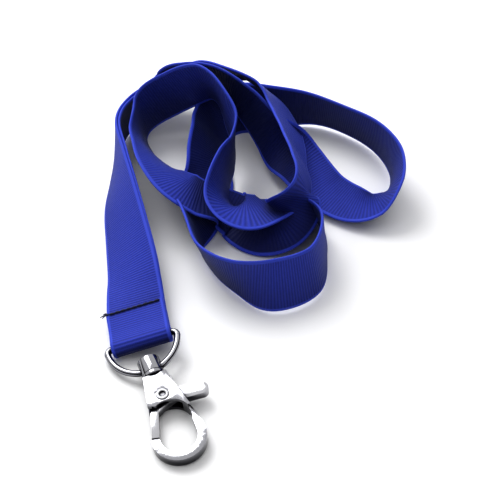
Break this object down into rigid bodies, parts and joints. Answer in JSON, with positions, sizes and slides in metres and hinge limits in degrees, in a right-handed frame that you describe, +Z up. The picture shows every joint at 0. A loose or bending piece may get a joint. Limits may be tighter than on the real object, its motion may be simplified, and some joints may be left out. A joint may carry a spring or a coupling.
{
  "type": "lanyard with swivel hook",
  "caption": "Blue woven neck lanyard lying in a loose tangle, its sewn end holding a wire D-ring and a chromed swivel trigger hook for a badge.",
  "frame": {"origin": "middle of the model's box on the floor it lies on", "axes": "+Z up from the floor, the hook points towards -Y and the strap's tangle lies towards +Y"},
  "size_m": [0.0823, 0.1326, 0.0285],
  "materials": {
    "strap": "ribbed weave",
    "thread": "matte",
    "ring_metal": "polished",
    "hook_metal": "polished",
    "trigger_metal": "polished",
    "rivet_metal": "satin",
    "spring_steel": "satin"
  },
  "bodies": {
    "lanyard": {"webbing": "strap", "end_fold": "strap", "stitching": "thread"},
    "ring": {"d_ring": "ring_metal"},
    "eye": {"swivel_eye": "hook_metal"},
    "hook": {"swivel_collar": "hook_metal", "hook_body": "hook_metal", "pivot_rivet": "rivet_metal", "trigger_spring": "spring_steel"},
    "trigger": {"trigger": "trigger_metal"}
  },
  "joints": [
    {"name": "ring_swing", "type": "hinge", "parent": "lanyard", "child": "ring", "pos_m": [-0.0273, -0.0327, 0.004], "axis": [0.9568, 0.2034, 0.2079], "range_deg": [-60, 0]},
    {"name": "eye_rock", "type": "hinge", "parent": "ring", "child": "eye", "pos_m": [-0.02434, -0.04127, 0.0032], "axis": [0.9276, 0.3033, 0.2182], "range_deg": [-60, 60]},
    {"name": "hook_swivel", "type": "hinge", "parent": "eye", "child": "hook", "pos_m": [-0.02434, -0.04127, 0.0032], "axis": [0.3659, -0.929, -0.0558], "continuous": true},
    {"name": "trigger_turn", "type": "hinge", "parent": "hook", "child": "trigger", "pos_m": [-0.02112, -0.04944, 0.00271], "axis": [-0.0607, -0.0837, 0.9946], "range_deg": [0, 28], "stiffness_Nm_per_rad": 0.03, "springref_deg": -28.65}
  ]
}
